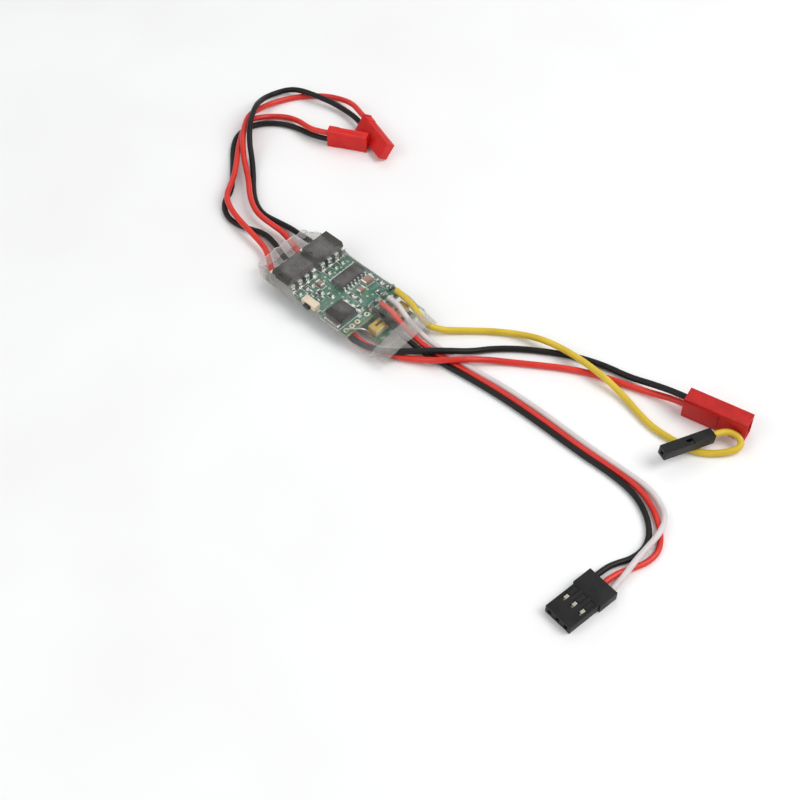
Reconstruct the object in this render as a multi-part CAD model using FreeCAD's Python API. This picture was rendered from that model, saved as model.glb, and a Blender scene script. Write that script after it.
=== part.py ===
import FreeCAD, Part
import math
import os

# Electronic speed controller with two driver chips, in a clear sleeve, with its leads and plugs.
# Millimetres. X runs along the board from the motor leads to the battery lead, Y across it and
# Z up. The origin is under the middle of the sleeve, on the surface that it lies on.

os.makedirs("parts", exist_ok=True)
V = FreeCAD.Vector

# Clear sleeve
SLEEVE_LENGTH = 48.0
SLEEVE_WIDTH = 23.2
SLEEVE_HEIGHT = 8.6
SLEEVE_WALL = 0.25
SLEEVE_CORNER = 1.4
SLEEVE_TUCK = 4.0
SLEEVE_MOUTH_HEIGHT = 4.9

# Main board and lower board
BOARD_LENGTH = 29.7
BOARD_WIDTH = 20.5
BOARD_THICK = 1.0
BOARD_UNDERSIDE = 3.2
BOARD_START = -18.5
LOWER_LENGTH = 25.0
LOWER_WIDTH = 13.4
LOWER_THICK = 0.8
LOWER_UNDERSIDE = 0.9
LOWER_OVERHANG = 6.8
LOWER_SHIFT = 2.1
LINK_PIN = 0.6
LINK_PINS = 5
HOLE_R = 0.35
RING_WIDTH = 0.4
RING_THICK = 0.05

# Driver chips: eight legs at 2.54
DRIVER_LENGTH = 9.3
DRIVER_WIDTH = 6.4
DRIVER_THICK = 3.3
DRIVER_LIFT = 0.5
DRIVER_PITCH = 2.54
DRIVER_LEG_WIDTH = 1.3
DRIVER_LEG_THICK = 0.26
DRIVER_LEG_OUT = 0.75
DRIVER_INSET = 1.95
DRIVER_GAP = 1.6
DRIVER_NOTCH_R = 0.9

# Controller chip: fourteen legs at 1.27
CONTROLLER_LENGTH = 8.65
CONTROLLER_WIDTH = 3.9
CONTROLLER_THICK = 1.5
CONTROLLER_LIFT = 0.15
CONTROLLER_PITCH = 1.27
CONTROLLER_LEG_WIDTH = 0.42
CONTROLLER_LEG_THICK = 0.2
CONTROLLER_LEG_OUT = 1.05
CONTROLLER_X = -2.4
CONTROLLER_Y = 4.4

# Voltage regulator
REGULATOR_ALONG = 5.6
REGULATOR_ACROSS = 5.8
REGULATOR_THICK = 2.2
REGULATOR_TAB_OUT = 1.0
REGULATOR_TAB_THICK = 0.5
REGULATOR_X = 5.3
REGULATOR_Y = -6.2
REGULATOR_LEG_PITCH = 2.28

# Set-up button
BUTTON_LENGTH = 4.8
BUTTON_DEPTH = 2.2
BUTTON_HEIGHT = 1.8
BUTTON_WALL = 0.35
BUTTON_X = -2.7
PLUNGER_WIDTH = 1.8
PLUNGER_HEIGHT = 0.8
PLUNGER_OUT = 0.85
PLUNGER_COLLAR = 0.4
PLUNGER_STEP = 0.45
PLUNGER_GAP = 0.05
PRESS_TRAVEL = 0.25
DOME_GAP = 0.06
DOME_THICK = 0.1
DOME_WIDTH = 0.8

# Capacitors on the lower board
SMOOTHING_ALONG = 3.0
SMOOTHING_ACROSS = 5.6
SMOOTHING_HEIGHT = 2.1
SMOOTHING_X = 14.2
SMOOTHING_A_Y = -1.2
SMOOTHING_B_Y = 5.7

# Wires and their solder beads
MOTOR_WIRE = 1.6
BATTERY_WIRE = 1.66
SIGNAL_WIRE = 1.45
YELLOW_WIRE = 1.7
BEAD_R = 0.95

# Connectors
TWO_PIN_LENGTH = 14.3
TWO_PIN_WIDTH = 5.0
TWO_PIN_PITCH = 2.3
TWO_PIN_THICK = 2.9
TWO_PIN_COLLAR_LENGTH = 2.4
TWO_PIN_COLLAR_STEP = 0.15
TWO_PIN_BORE = 1.5
SOCKET_LENGTH = 16.6
SOCKET_WIDTH = 4.2
SOCKET_HEIGHT = 6.7
SOCKET_WALL = 0.55
SOCKET_DEPTH = 9.0
SOCKET_PIN_R = 0.5
SERVO_LENGTH = 14.4
SERVO_WIDTH = 7.7
SERVO_THICK = 2.6
SERVO_PITCH = 2.54
SERVO_BACK_LENGTH = 5.4
SERVO_BACK_STEP = 0.45
SERVO_BORE = 1.0
SINGLE_LENGTH = 13.7
SINGLE_WIDTH = 2.7
SINGLE_HEIGHT = 2.9

board_top = BOARD_UNDERSIDE + BOARD_THICK
board_end = BOARD_START + BOARD_LENGTH
lower_end = board_end + LOWER_OVERHANG
lower_start = lower_end - LOWER_LENGTH
lower_top = LOWER_UNDERSIDE + LOWER_THICK

nodes = {}


def block(x0, y0, z0, x1, y1, z1):
    """A box between two opposite corners."""
    return Part.makeBox(x1 - x0, y1 - y0, z1 - z0, V(x0, y0, z0))


def centred_block(x, y, z, along, across, high):
    """A box centred on x and y that stands on z."""
    return block(x - along / 2, y - across / 2, z, x + along / 2, y + across / 2, z + high)


def post(x, y, z, radius, height):
    return Part.makeCylinder(radius, height, V(x, y, z))


def group(solids):
    return Part.makeCompound(solids)


def placed(shape, x, y, z, yaw, roll=0.0):
    """A shape turned about its own X axis, then about Z, then moved into place."""
    moved = shape.copy()
    moved.rotate(V(0, 0, 0), V(1, 0, 0), roll)
    moved.rotate(V(0, 0, 0), V(0, 0, 1), yaw)
    moved.translate(V(x, y, z))
    return moved


def bent_strip(points, thick, width, y):
    """A leg bent from flat strip: its outline in X and Z, centred on y."""
    left = []
    right = []
    for index, (x, z) in enumerate(points):
        before = points[max(index - 1, 0)]
        after = points[min(index + 1, len(points) - 1)]
        direction = V(after[0] - before[0], 0, after[1] - before[1])
        direction.normalize()
        turn = 1.0
        if 0 < index < len(points) - 1:
            first = V(x - before[0], 0, z - before[1])
            first.normalize()
            turn = 1.0 / max(0.5, first.dot(direction))
        half = thick / 2 * turn
        left.append(V(x - direction.z * half, y - width / 2, z + direction.x * half))
        right.append(V(x + direction.z * half, y - width / 2, z - direction.x * half))
    outline = left + right[::-1] + [left[0]]
    return Part.Face(Part.makePolygon(outline)).extrude(V(0, width, 0))


# ---- sleeve ----

def rounded_section(x, low_y, high_y, low_z, high_z, tuck, radius):
    """A rounded rectangle across X. Its lower corners are tucked in by a larger radius."""
    r = radius
    k = r * (1 - math.sqrt(0.5))
    t = tuck
    u = t * (1 - math.sqrt(0.5))
    corners = [
        (V(x, high_y - t, low_z), V(x, high_y - u, low_z + u), V(x, high_y, low_z + t)),
        (V(x, high_y, high_z - r), V(x, high_y - k, high_z - k), V(x, high_y - r, high_z)),
        (V(x, low_y + r, high_z), V(x, low_y + k, high_z - k), V(x, low_y, high_z - r)),
        (V(x, low_y, low_z + t), V(x, low_y + u, low_z + u), V(x, low_y + t, low_z)),
    ]
    edges = []
    for index, corner in enumerate(corners):
        following = corners[(index + 1) % 4]
        edges.append(Part.Arc(corner[0], corner[1], corner[2]).toShape())
        edges.append(Part.LineSegment(corner[2], following[0]).toShape())
    return Part.Wire(edges)


def sleeve_stations():
    """Where the sleeve changes section: x, low y, high y, low z, high z, lower corner radius."""
    half = SLEEVE_LENGTH / 2
    wide = SLEEVE_WIDTH / 2
    low = board_top + 2.6
    tuck = SLEEVE_TUCK
    return [
        (-half, -wide + 3.4, wide - 1.0, 0.3, 0.3 + SLEEVE_MOUTH_HEIGHT, tuck * 0.55),
        (BOARD_START - 0.8, -wide, wide, 0.0, SLEEVE_HEIGHT - 0.9, tuck),
        (BOARD_START + 1.4, -wide, wide, 0.0, SLEEVE_HEIGHT, tuck),
        (BOARD_START + 9.2, -wide, wide, 0.0, SLEEVE_HEIGHT, tuck),
        (BOARD_START + 11.6, -wide, wide, 0.0, low, tuck),
        (board_end, -wide, wide, 0.0, low, tuck),
        (board_end + 6.0, -wide + 1.4, wide - 0.6, 0.0, low - 0.2, tuck * 0.85),
        (half, -wide + 3.2, wide - 2.0, 0.0, SLEEVE_MOUTH_HEIGHT, tuck * 0.55),
    ]


def make_sleeve():
    stations = sleeve_stations()
    outer = []
    inner = []
    for x, low_y, high_y, low_z, high_z, tuck in stations:
        outer.append(rounded_section(x, low_y, high_y, low_z, high_z, tuck, SLEEVE_CORNER))
        w = SLEEVE_WALL
        section = (low_y + w, high_y - w, low_z + w, high_z - w, tuck - w, SLEEVE_CORNER - w)
        if not inner:
            inner.append(rounded_section(x - 1.0, *section))
        inner.append(rounded_section(x, *section))
    inner.append(rounded_section(stations[-1][0] + 1.0, *section))
    shell = Part.makeLoft(outer, True, True).cut(Part.makeLoft(inner, True, True))
    nodes["clear_sleeve"] = shell


# ---- boards ----

def hole_places():
    """Plated holes near the battery end of the main board."""
    x = board_end - 1.3
    return [(x, -1.4), (x, -4.9), (x, -6.9), (x, -9.0)]


def make_boards():
    board = centred_block((BOARD_START + board_end) / 2, 0, BOARD_UNDERSIDE,
                          BOARD_LENGTH, BOARD_WIDTH, BOARD_THICK)
    rings = []
    for x, y in hole_places():
        board = board.cut(post(x, y, BOARD_UNDERSIDE - 1, HOLE_R, BOARD_THICK + 2))
        ring = post(x, y, board_top, HOLE_R + RING_WIDTH, RING_THICK)
        rings.append(ring.cut(post(x, y, board_top - 1, HOLE_R, 2)))
    nodes["main_board"] = board
    nodes["plated_rings"] = group(rings)
    low_y = LOWER_SHIFT - LOWER_WIDTH / 2
    nodes["lower_board"] = block(lower_start, low_y, LOWER_UNDERSIDE,
                                 lower_end, low_y + LOWER_WIDTH, lower_top)
    pins = []
    for index in range(LINK_PINS):
        y = LOWER_SHIFT + (index - (LINK_PINS - 1) / 2) * DRIVER_PITCH
        pins.append(centred_block(lower_start + 1.5, y, lower_top,
                                  LINK_PIN, LINK_PIN, BOARD_UNDERSIDE - lower_top))
    nodes["board_link_pins"] = group(pins)


def make_link_wire():
    """The bare wire from the corner hole of the main board down to the lower board."""
    x, y = hole_places()[3]
    target = V(lower_end - 3.4, LOWER_SHIFT - LOWER_WIDTH / 2 + 0.25, lower_top + 0.08)
    top = board_top + 0.55
    path, radii = tube_path([V(x, y, board_top - 0.6), V(x, y, top),
                             V(x + 3.4, y + 3.4, top), target])
    profile = Part.Wire([Part.Circle(V(x, y, board_top - 0.6), V(0, 0, 1), 0.22).toShape()])
    nodes["bare_link_wire"] = path.makePipeShell([profile], True, False)


# ---- chips ----

def driver_centre(side):
    x = BOARD_START + DRIVER_INSET + DRIVER_WIDTH / 2
    y = 0.35 + side * (DRIVER_LENGTH + DRIVER_GAP) / 2
    return x, y


def make_driver(name, side):
    """A driver chip: a block with tapered sides and a half-round notch, on eight legs."""
    x, y = driver_centre(side)
    base = board_top + DRIVER_LIFT
    waist = base + DRIVER_THICK * 0.5
    taper = 0.22
    lower = frustum(x, y, waist, base, DRIVER_WIDTH, DRIVER_LENGTH, taper)
    upper = frustum(x, y, waist, base + DRIVER_THICK, DRIVER_WIDTH, DRIVER_LENGTH, taper)
    body = lower.fuse(upper).removeSplitter()
    notch = post(x, y - DRIVER_LENGTH / 2, base + DRIVER_THICK - 0.5, DRIVER_NOTCH_R, 1.0)
    nodes[name + "_body"] = body.cut(notch)
    legs = []
    for index in range(4):
        leg_y = y + (index - 1.5) * DRIVER_PITCH
        for way in (-1, 1):
            root = x + way * DRIVER_WIDTH / 2
            out = root + way * DRIVER_LEG_OUT
            shin = [(root, waist), (out, waist), (out, board_top)]
            legs.append(bent_strip(shin, DRIVER_LEG_THICK, DRIVER_LEG_WIDTH, leg_y))
    nodes[name + "_legs"] = group(legs)


def frustum(x, y, z_from, z_to, along, across, taper):
    """A block that narrows by taper on each side between two heights."""
    wires = []
    for z, inset in ((z_from, 0.0), (z_to, taper)):
        a = along / 2 - inset
        b = across / 2 - inset
        corners = [V(x - a, y - b, z), V(x + a, y - b, z), V(x + a, y + b, z), V(x - a, y + b, z)]
        wires.append(Part.makePolygon(corners + [corners[0]]))
    return Part.makeLoft(wires, True, True)


def make_controller():
    base = board_top + CONTROLLER_LIFT
    waist = base + CONTROLLER_THICK / 2
    parts = []
    for z in (base, base + CONTROLLER_THICK):
        parts.append(frustum(CONTROLLER_X, CONTROLLER_Y, waist, z,
                             CONTROLLER_WIDTH, CONTROLLER_LENGTH, 0.12))
    nodes["controller_chip_body"] = parts[0].fuse(parts[1]).removeSplitter()
    legs = []
    foot = board_top + CONTROLLER_LEG_THICK / 2
    for index in range(7):
        y = CONTROLLER_Y + (index - 3) * CONTROLLER_PITCH
        for way in (-1, 1):
            root = CONTROLLER_X + way * CONTROLLER_WIDTH / 2
            knee = root + way * CONTROLLER_LEG_OUT * 0.35
            ankle = root + way * CONTROLLER_LEG_OUT * 0.5
            toe = root + way * CONTROLLER_LEG_OUT
            line = [(root, waist), (knee, waist), (ankle, foot), (toe, foot)]
            legs.append(bent_strip(line, CONTROLLER_LEG_THICK, CONTROLLER_LEG_WIDTH, y))
    nodes["controller_chip_legs"] = group(legs)


def make_regulator():
    low_y = REGULATOR_Y - REGULATOR_ACROSS / 2
    high_y = REGULATOR_Y + REGULATOR_ACROSS / 2
    tab_top = board_top + REGULATOR_TAB_THICK
    half = REGULATOR_ALONG / 2
    body = frustum(REGULATOR_X, REGULATOR_Y, tab_top, board_top + REGULATOR_THICK,
                   REGULATOR_ALONG, REGULATOR_ACROSS, 0.15)
    nodes["regulator_body"] = body
    tab = block(REGULATOR_X - half + 0.5, low_y - REGULATOR_TAB_OUT, board_top,
                REGULATOR_X + half - 0.5, high_y - 1.2, tab_top)
    nodes["regulator_tab"] = tab
    legs = []
    leg_z = board_top + 0.95
    for index in (-1, 0, 1):
        y0 = high_y
        path = [(y0 - 0.02, leg_z), (y0 + 0.5, leg_z), (y0 + 0.9, board_top + 0.15),
                (y0 + 1.7, board_top + 0.15)]
        leg = bent_strip(path, 0.3, 0.8, 0)
        leg.rotate(V(0, 0, 0), V(0, 0, 1), 90)
        leg.translate(V(REGULATOR_X + index * REGULATOR_LEG_PITCH, 0, 0))
        legs.append(leg.cut(body))
    nodes["regulator_legs"] = group(legs)


# ---- set-up button ----

def make_button():
    """A side-pressed button: a hollow housing, a collared plunger and a domed contact."""
    low_y = -BOARD_WIDTH / 2
    high_y = low_y + BUTTON_DEPTH
    z0 = board_top
    z1 = z0 + BUTTON_HEIGHT
    half = BUTTON_LENGTH / 2
    wall = BUTTON_WALL
    housing = block(BUTTON_X - half, low_y, z0, BUTTON_X + half, high_y, z1)
    cavity = block(BUTTON_X - half + wall, low_y + wall, z0 + wall,
                   BUTTON_X + half - wall, high_y - wall, z1 - wall)
    middle = (z0 + z1) / 2
    window = block(BUTTON_X - PLUNGER_WIDTH / 2 - PLUNGER_GAP, low_y - 1,
                   middle - PLUNGER_HEIGHT / 2 - PLUNGER_GAP,
                   BUTTON_X + PLUNGER_WIDTH / 2 + PLUNGER_GAP, low_y + wall + 0.1,
                   middle + PLUNGER_HEIGHT / 2 + PLUNGER_GAP)
    nodes["button_housing"] = housing.cut(cavity).cut(window)
    stem = block(BUTTON_X - PLUNGER_WIDTH / 2, low_y - PLUNGER_OUT, middle - PLUNGER_HEIGHT / 2,
                 BUTTON_X + PLUNGER_WIDTH / 2, low_y + wall + PLUNGER_GAP,
                 middle + PLUNGER_HEIGHT / 2)
    reach = PLUNGER_WIDTH / 2 + PLUNGER_STEP
    collar = block(BUTTON_X - reach, low_y + wall + PLUNGER_GAP, middle - PLUNGER_HEIGHT / 2,
                   BUTTON_X + reach, low_y + wall + PLUNGER_GAP + PLUNGER_COLLAR,
                   middle + PLUNGER_HEIGHT / 2)
    nodes["button_plunger"] = stem.fuse(collar).removeSplitter()
    collar_back = low_y + wall + PLUNGER_GAP + PLUNGER_COLLAR
    crown_y = collar_back + PRESS_TRAVEL + DOME_GAP
    back_y = high_y - wall
    span = half - wall - 0.25
    z = middle - DOME_WIDTH / 2
    outer = [V(BUTTON_X - span, back_y, z), V(BUTTON_X, crown_y, z), V(BUTTON_X + span, back_y, z)]
    inner_span = span - 2 * DOME_THICK
    inner = [V(BUTTON_X + inner_span, back_y, z), V(BUTTON_X, crown_y + DOME_THICK, z),
             V(BUTTON_X - inner_span, back_y, z)]
    edges = [Part.Arc(*outer).toShape(), Part.LineSegment(outer[2], inner[0]).toShape(),
             Part.Arc(*inner).toShape(), Part.LineSegment(inner[2], outer[0]).toShape()]
    nodes["button_dome"] = Part.Face(Part.Wire(edges)).extrude(V(0, 0, DOME_WIDTH))
    feet = []
    for way in (-1, 1):
        x = BUTTON_X + way * (half + 0.35)
        feet.append(centred_block(x, (low_y + high_y) / 2, board_top, 0.7, 1.1, 0.2))
    nodes["button_terminals"] = group(feet)


# ---- small components ----

def two_ended(x, y, z, along, across, high, cap, lengthways):
    """A chip component: its body and its two end caps, laid along X or along Y."""
    if not lengthways:
        body = centred_block(x, y, z, across, along - 2 * cap, high)
        caps = []
        for way in (-1, 1):
            centre = y + way * (along - cap) / 2
            caps.append(centred_block(x, centre, z, across, cap, high))
        return body, caps
    body = centred_block(x, y, z, along - 2 * cap, across, high)
    caps = []
    for way in (-1, 1):
        caps.append(centred_block(x + way * (along - cap) / 2, y, z, cap, across, high))
    return body, caps


def make_small_components():
    bodies = []
    caps = []
    for x, y, lengthways in ((2.0, 6.9, False), (3.2, 3.4, False), (-6.1, -2.4, True)):
        big = y > 6
        size = (3.2, 1.9, 1.3) if big else (2.2, 1.3, 1.0)
        body, ends = two_ended(x, y, board_top, size[0], size[1], size[2], 0.4, lengthways)
        bodies.append(body)
        caps += ends
    nodes["ceramic_capacitors"] = group(bodies)
    nodes["capacitor_ends"] = group(caps)
    places = [(-8.0, -8.4, True), (-8.0, -5.9, True), (-7.9, -4.0, True), (-8.0, 2.2, True),
              (-8.0, 4.7, True), (-8.0, 7.2, True), (-6.2, -6.4, False), (-4.4, -6.0, False),
              (-2.4, -5.9, False), (-4.2, -4.2, True), (-1.4, -3.2, True), (2.3, 0.6, True),
              (4.8, 0.7, True), (4.4, 9.0, True), (6.6, 9.0, True), (7.2, 6.2, True),
              (7.2, -1.1, True)]
    bodies = []
    caps = []
    for x, y, lengthways in places:
        body, ends = two_ended(x, y, board_top, 1.6, 0.8, 0.45, 0.28, lengthways)
        bodies.append(body)
        caps += ends
    nodes["chip_resistors"] = group(bodies)
    nodes["resistor_ends"] = group(caps)


def make_smoothing_capacitors():
    feet = []
    for letter, y in (("a", SMOOTHING_A_Y), ("b", SMOOTHING_B_Y)):
        body = centred_block(SMOOTHING_X, y, lower_top + 0.1, SMOOTHING_ALONG, SMOOTHING_ACROSS,
                             SMOOTHING_HEIGHT)
        nodes["smoothing_capacitor_" + letter] = body
        for way in (-1, 1):
            centre = y + way * (SMOOTHING_ACROSS / 2 - 0.5)
            feet.append(centred_block(SMOOTHING_X, centre, lower_top, 2.0, 1.0, 0.1))
    nodes["smoothing_capacitor_feet"] = group(feet)


# ---- wires ----

def tube_path(points):
    """Straight runs joined by tangent arcs that take 0.45 of the shorter run, and their radii."""
    edges = []
    radii = []
    start = points[0]
    for index in range(1, len(points) - 1):
        before = points[index] - points[index - 1]
        after = points[index + 1] - points[index]
        turn = before.getAngle(after)
        shorter = min(before.Length, after.Length)
        back = 0.45 * shorter
        before.normalize()
        after.normalize()
        enter = points[index] - before * back
        leave = points[index] + after * back
        radius = back / math.tan(turn / 2)
        inward = (after - before).normalize()
        middle = points[index] + inward * (radius / math.cos(turn / 2) - radius)
        edges.append(Part.LineSegment(start, enter).toShape())
        edges.append(Part.Arc(enter, middle, leave).toShape())
        start = leave
        radii.append(radius)
    edges.append(Part.LineSegment(start, points[-1]).toShape())
    return Part.Wire(edges), radii


def make_wire(name, diameter, route):
    """A wire as a tube, with its tightest radius and its length printed."""
    points = [V(*point) for point in route]
    path, radii = tube_path(points)
    first = points[1] - points[0]
    profile = Part.Wire([Part.Circle(points[0], first, diameter / 2).toShape()])
    tube = path.makePipeShell([profile], True, False)
    expected = math.pi * diameter ** 2 / 4 * path.Length
    print(name, "length %.1f" % path.Length, "tightest %.1f" % min(radii),
          "volume ratio %.4f" % (tube.Volume / expected), "low %.2f" % tube.BoundBox.ZMin)
    nodes[name] = tube


# Where each wire runs. A wire that crosses another is raised over it or kept down under it.

MOTOR_A_RED = [
    (-17.0, -6.4, 2.35), (-20.6, -6.4, 2.35), (-24.0, -3.9, 2.2), (-27.4, -1.8, 2.1),
    (-31.0, -0.9, 2.2), (-35.4, -0.3, 2.65), (-41.4, 0.8, 2.65), (-46.4, 2.4, 2.65),
    (-50.0, 4.6, 2.65), (-52.2, 8.0, 2.65), (-54.2, 11.4, 2.65), (-57.6, 15.5, 2.6),
    (-61.9, 20.2, 2.6), (-66.1, 25.6, 2.6), (-68.6, 30.9, 2.6), (-68.1, 34.6, 1.5),
    (-66.6, 37.6, 0.85), (-63.4, 40.4, 0.83), (-58.6, 40.9, 1.8), (-54.2, 39.6, 3.3),
    (-50.6, 39.5, 3.85), (-46.9, 41.5, 3.85)]
MOTOR_A_BLACK = [
    (-17.0, -1.0, 2.35), (-20.4, -1.0, 2.35), (-24.4, 0.4, 2.0), (-28.4, 2.0, 1.4),
    (-33.4, 2.9, 0.85), (-38.0, 1.0, 0.82), (-42.8, 0.0, 0.82), (-46.8, 1.0, 0.82),
    (-50.4, 4.0, 0.82), (-51.9, 8.0, 0.82), (-55.4, 11.8, 0.82), (-60.0, 16.2, 0.82),
    (-64.6, 20.4, 0.82), (-67.6, 24.6, 0.82), (-68.2, 29.6, 0.82), (-66.2, 33.9, 0.82),
    (-62.6, 37.2, 0.83), (-57.8, 39.2, 0.83), (-53.2, 39.6, 1.1), (-49.3, 40.2, 1.55),
    (-46.9, 41.5, 1.55)]
MOTOR_B_RED = [
    (-17.0, 3.4, 2.35), (-21.0, 3.4, 2.35), (-25.2, 5.0, 2.1), (-29.6, 6.0, 2.0),
    (-34.0, 5.6, 2.5), (-38.6, 5.8, 2.6), (-42.6, 7.4, 2.6), (-46.4, 10.0, 2.6),
    (-49.4, 12.6, 2.6), (-53.0, 15.2, 2.6), (-57.4, 18.2, 2.7), (-61.5, 21.7, 4.0),
    (-65.7, 26.1, 4.4), (-68.7, 30.8, 4.4), (-70.2, 36.0, 2.4), (-70.6, 41.2, 1.2),
    (-68.8, 46.6, 0.84), (-65.8, 51.0, 0.82), (-61.6, 54.9, 0.83), (-56.6, 56.5, 1.5),
    (-51.2, 55.9, 3.2), (-46.5, 54.0, 4.07), (-42.7, 52.9, 4.07)]
MOTOR_B_BLACK = [
    (-17.0, 8.4, 2.35), (-20.8, 8.4, 2.35), (-24.6, 8.3, 2.2), (-28.8, 8.9, 1.3),
    (-33.8, 8.5, 0.83), (-38.8, 7.7, 0.82), (-43.4, 9.4, 0.82), (-47.6, 12.4, 0.82),
    (-52.0, 16.6, 0.83), (-56.2, 20.2, 1.9), (-60.0, 22.9, 4.0), (-63.4, 26.4, 6.1),
    (-66.4, 30.2, 6.2), (-69.4, 34.6, 5.3), (-71.6, 38.2, 3.5), (-73.1, 42.0, 1.8),
    (-72.9, 45.8, 1.1), (-70.9, 48.9, 1.6), (-67.3, 50.2, 2.6), (-62.2, 51.6, 2.6),
    (-57.4, 53.2, 1.9), (-52.0, 53.6, 1.7), (-46.9, 53.0, 2.08), (-43.0, 51.84, 2.08)]
BATTERY_BLACK = [
    (5.0, -8.6, 2.3), (9.4, -8.6, 2.3), (13.4, -8.9, 2.4), (17.8, -8.1, 2.7), (21.8, -6.2, 2.95),
    (25.4, -2.4, 2.75), (29.2, 1.5, 2.8), (32.8, 5.1, 2.5), (36.0, 9.2, 1.3),
    (39.2, 14.0, 0.86), (43.8, 18.4, 0.85), (49.6, 22.6, 0.85), (56.4, 26.6, 0.86),
    (63.4, 29.2, 0.85), (70.6, 30.3, 1.1), (77.4, 31.2, 3.0), (83.0, 31.5, 4.7),
    (87.4, 32.4, 4.7)]
BATTERY_RED = [
    (5.0, -6.2, 2.3), (8.4, -6.2, 2.3), (12.2, -7.1, 1.3), (16.2, -7.0, 1.12),
    (20.4, -5.6, 1.12), (24.4, -4.2, 1.12), (28.6, -1.6, 1.4), (32.6, 0.6, 2.45), (37.2, 5.2, 2.65),
    (40.8, 9.8, 1.5), (45.0, 13.4, 0.86), (50.6, 17.4, 0.85), (56.6, 21.6, 0.85),
    (63.6, 25.4, 0.85), (71.0, 27.9, 0.85), (77.8, 29.9, 1.2), (83.4, 31.6, 2.1),
    (87.4, 32.4, 2.1)]
SIGNAL_WHITE = [
    (9.4, 6.1, 4.96), (13.0, 6.1, 4.96), (16.8, 4.9, 4.8), (21.2, 4.3, 3.3),
    (26.2, 4.6, 1.4), (31.4, 5.0, 0.76), (40.0, 5.9, 0.75), (50.0, 7.1, 0.75),
    (63.0, 7.3, 0.75), (76.0, 6.8, 0.75), (88.0, 7.1, 0.75), (95.4, 6.6, 0.75),
    (100.6, 4.4, 0.85), (104.2, 0.8, 2.0), (105.7, -3.6, 2.35), (105.7, -8.0, 2.35),
    (105.0, -12.2, 2.4), (105.6, -15.8, 2.3), (106.4, -18.7, 1.3), (106.02, -22.08, 1.3)]
SIGNAL_RED = [
    (9.4, 3.3, 4.96), (13.0, 3.3, 4.96), (16.8, 2.5, 4.7), (21.4, 2.2, 3.2),
    (26.6, 2.6, 1.3), (32.0, 3.3, 0.76), (41.8, 4.3, 0.75), (52.0, 5.1, 0.75),
    (64.0, 5.2, 0.75), (76.0, 4.9, 0.75), (87.0, 5.3, 0.75), (93.6, 4.9, 0.75),
    (98.4, 3.0, 0.75), (102.0, 0.6, 0.75), (105.2, -2.4, 0.75), (107.4, -6.2, 0.75),
    (107.2, -10.4, 0.75), (105.4, -14.2, 0.75), (103.87, -18.42, 1.3), (103.5, -21.8, 1.3)]
SIGNAL_BLACK = [
    (9.4, 0.5, 4.96), (13.0, 0.5, 4.96), (16.8, -0.1, 4.6), (21.6, 0.2, 3.0),
    (27.0, 0.9, 1.2), (32.6, 1.7, 0.76), (42.0, 2.6, 0.75), (52.0, 3.4, 0.75),
    (64.0, 3.5, 0.75), (76.0, 3.2, 0.75), (86.0, 3.5, 0.75), (92.6, 3.1, 0.75),
    (97.2, 1.2, 0.75), (100.6, -1.2, 0.75), (103.2, -4.2, 0.75), (104.5, -8.0, 0.75),
    (103.9, -12.0, 0.75), (102.2, -15.2, 0.82), (101.35, -18.14, 1.3), (100.98, -21.52, 1.3)]
SECOND_YELLOW = [
    (9.0, 9.2, 5.08), (12.8, 9.2, 5.08), (17.0, 8.2, 4.9), (21.4, 7.2, 3.5),
    (25.4, 9.0, 1.5), (30.0, 13.8, 0.88), (35.6, 18.8, 0.87), (41.6, 22.6, 1.2),
    (48.2, 24.2, 2.8), (57.0, 25.3, 2.9), (66.0, 24.9, 2.8), (72.0, 24.7, 1.4),
    (78.0, 23.2, 0.88), (84.0, 21.7, 0.87), (90.0, 21.9, 0.87), (95.4, 22.4, 0.87),
    (99.0, 24.4, 0.88), (102.0, 27.4, 1.1), (103.9, 30.2, 1.7), (103.2, 32.0, 2.5),
    (100.6, 32.1, 3.3), (98.3, 30.2, 3.5), (97.3, 27.6, 3.5)]


def bead(x, y, z, way, low_z, high_z):
    """A bead of solder at a wire's end, flat against the wire's end and against the board."""
    ball = Part.makeSphere(BEAD_R, V(x + way * 0.25, y, z))
    far = x + way * 3
    room = block(min(x, far), y - 2, low_z, max(x, far), y + 2, high_z)
    return ball.common(room)


def make_wires():
    for name, diameter, route in (
            ("motor_a_red_wire", MOTOR_WIRE, MOTOR_A_RED),
            ("motor_a_black_wire", MOTOR_WIRE, MOTOR_A_BLACK),
            ("motor_b_red_wire", MOTOR_WIRE, MOTOR_B_RED),
            ("motor_b_black_wire", MOTOR_WIRE, MOTOR_B_BLACK),
            ("battery_black_wire", BATTERY_WIRE, BATTERY_BLACK),
            ("battery_red_wire", BATTERY_WIRE, BATTERY_RED),
            ("signal_white_wire", SIGNAL_WIRE, SIGNAL_WHITE),
            ("signal_red_wire", SIGNAL_WIRE, SIGNAL_RED),
            ("signal_black_wire", SIGNAL_WIRE, SIGNAL_BLACK),
            ("second_signal_wire", YELLOW_WIRE, SECOND_YELLOW)):
        make_wire(name, diameter, route)
    beads = []
    for route in (MOTOR_A_RED, MOTOR_A_BLACK, MOTOR_B_RED, MOTOR_B_BLACK):
        x, y, z = route[0]
        beads.append(bead(x, y, z, 1, 0, BOARD_UNDERSIDE))
    for route in (BATTERY_BLACK, BATTERY_RED):
        x, y, z = route[0]
        beads.append(bead(x, y, z, -1, 0, BOARD_UNDERSIDE))
    for route in (SIGNAL_WHITE, SIGNAL_RED, SIGNAL_BLACK, SECOND_YELLOW):
        x, y, z = route[0]
        beads.append(bead(x, y, z, -1, board_top, board_top + 5))
    nodes["solder_beads"] = group(beads)


# ---- connectors: each is drawn with its wire end at the origin and its front along +X ----

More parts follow.
